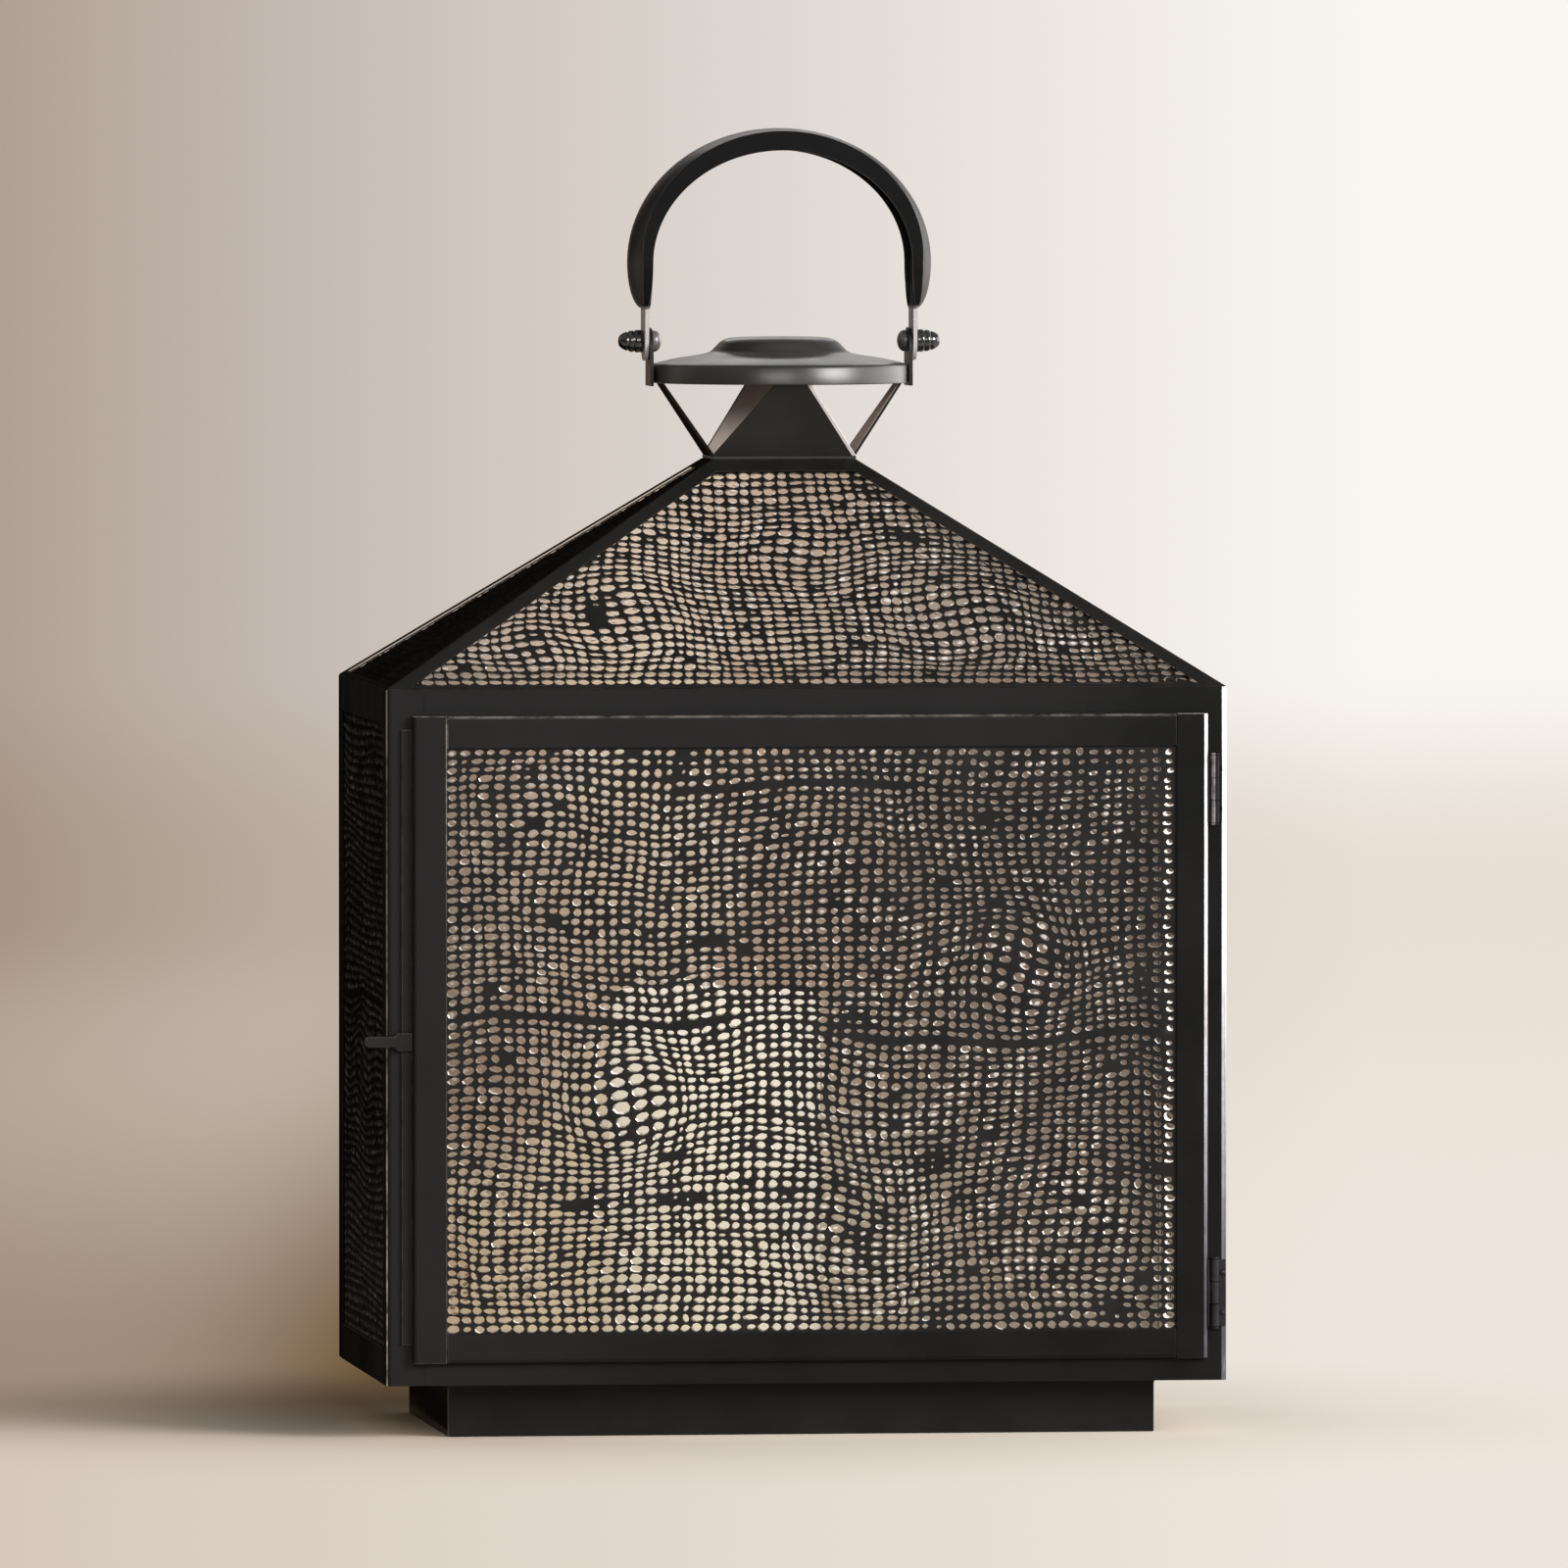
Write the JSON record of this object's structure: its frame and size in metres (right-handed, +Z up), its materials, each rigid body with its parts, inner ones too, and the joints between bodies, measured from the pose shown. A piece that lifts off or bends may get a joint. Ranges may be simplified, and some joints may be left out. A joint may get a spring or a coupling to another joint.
{
  "type": "candle lantern",
  "caption": "Rectangular sheet-metal candle lantern with perforated walls, a side-hinged front door, a hipped roof under a round vented cap, and a swinging carrying handle.",
  "frame": {"origin": "middle of the flat underside of the plinth, on the surface the lantern stands on", "axes": "+Z up, -Y out through the door, +X towards the door's hinges"},
  "size_m": [0.3185, 0.1784, 0.4786],
  "materials": {
    "black_paint": "satin black powder coat on sheet steel, lightly rubbed at the edges",
    "perforated_sheet": "satin black outside, warm brown metallic wash inside",
    "dark_steel": "darkened steel, worn bright on the knuckles and bolt heads",
    "wax": "smooth ivory candle wax",
    "wick_cotton": "waxed braided cotton"
  },
  "bodies": {
    "housing": {"plinth": "black_paint", "floor_pan": "black_paint", "front_left_post": "black_paint", "front_right_post": "black_paint", "back_left_post": "black_paint", "back_right_post": "black_paint", "front_top_rail": "black_paint", "front_bottom_rail": "black_paint", "back_top_rail": "black_paint", "back_bottom_rail": "black_paint", "left_top_rail": "black_paint", "left_bottom_rail": "black_paint", "right_top_rail": "black_paint", "right_bottom_rail": "black_paint", "left_perforated_sheet": "perforated_sheet", "right_perforated_sheet": "perforated_sheet", "back_perforated_sheet": "perforated_sheet", "front_roof_frame": "black_paint", "right_roof_frame": "black_paint", "back_roof_frame": "black_paint", "left_roof_frame": "black_paint", "front_roof_sheet": "perforated_sheet", "right_roof_sheet": "perforated_sheet", "back_roof_sheet": "perforated_sheet", "left_roof_sheet": "perforated_sheet", "vent_collar": "black_paint", "front_petal": "black_paint", "back_petal": "black_paint", "right_petal": "black_paint", "left_petal": "black_paint", "cap_plate": "black_paint", "cap_lid": "black_paint", "left_ear": "black_paint", "right_ear": "black_paint", "left_pivot_bolt": "dark_steel", "right_pivot_bolt": "dark_steel", "left_finial": "black_paint", "right_finial": "black_paint", "upper_hinge_frame_leaf": "dark_steel", "lower_hinge_frame_leaf": "dark_steel", "upper_hinge_pin": "dark_steel", "lower_hinge_pin": "dark_steel", "upper_hinge_rivet_top": "dark_steel", "upper_hinge_rivet_bottom": "dark_steel", "lower_hinge_rivet_top": "dark_steel", "lower_hinge_rivet_bottom": "dark_steel", "catch_magnet": "dark_steel"},
    "door": {"door_left_stile": "black_paint", "door_right_stile": "black_paint", "door_top_rail": "black_paint", "door_bottom_rail": "black_paint", "door_perforated_sheet": "perforated_sheet", "door_closing_flange": "black_paint", "door_pull_tab": "black_paint", "catch_strike": "dark_steel", "upper_hinge_door_leaf": "dark_steel", "lower_hinge_door_leaf": "dark_steel"},
    "handle": {"handle": "black_paint"},
    "candle": {"candle": "wax", "wick": "wick_cotton"}
  },
  "joints": [
    {"name": "door_hinge", "type": "hinge", "parent": "housing", "child": "door", "pos_m": [0.1501, -0.0892, 0.1466], "axis": [0, 0, 1], "range_deg": [0, 150]},
    {"name": "handle_pivot", "type": "hinge", "parent": "housing", "child": "handle", "pos_m": [0, 0, 0.4], "axis": [1, 0, 0], "range_deg": [-110, 110]},
    {"name": "candle_lift", "type": "slide", "parent": "housing", "child": "candle", "axis": [0, 0, 1], "range_m": [0, 0.08]}
  ]
}
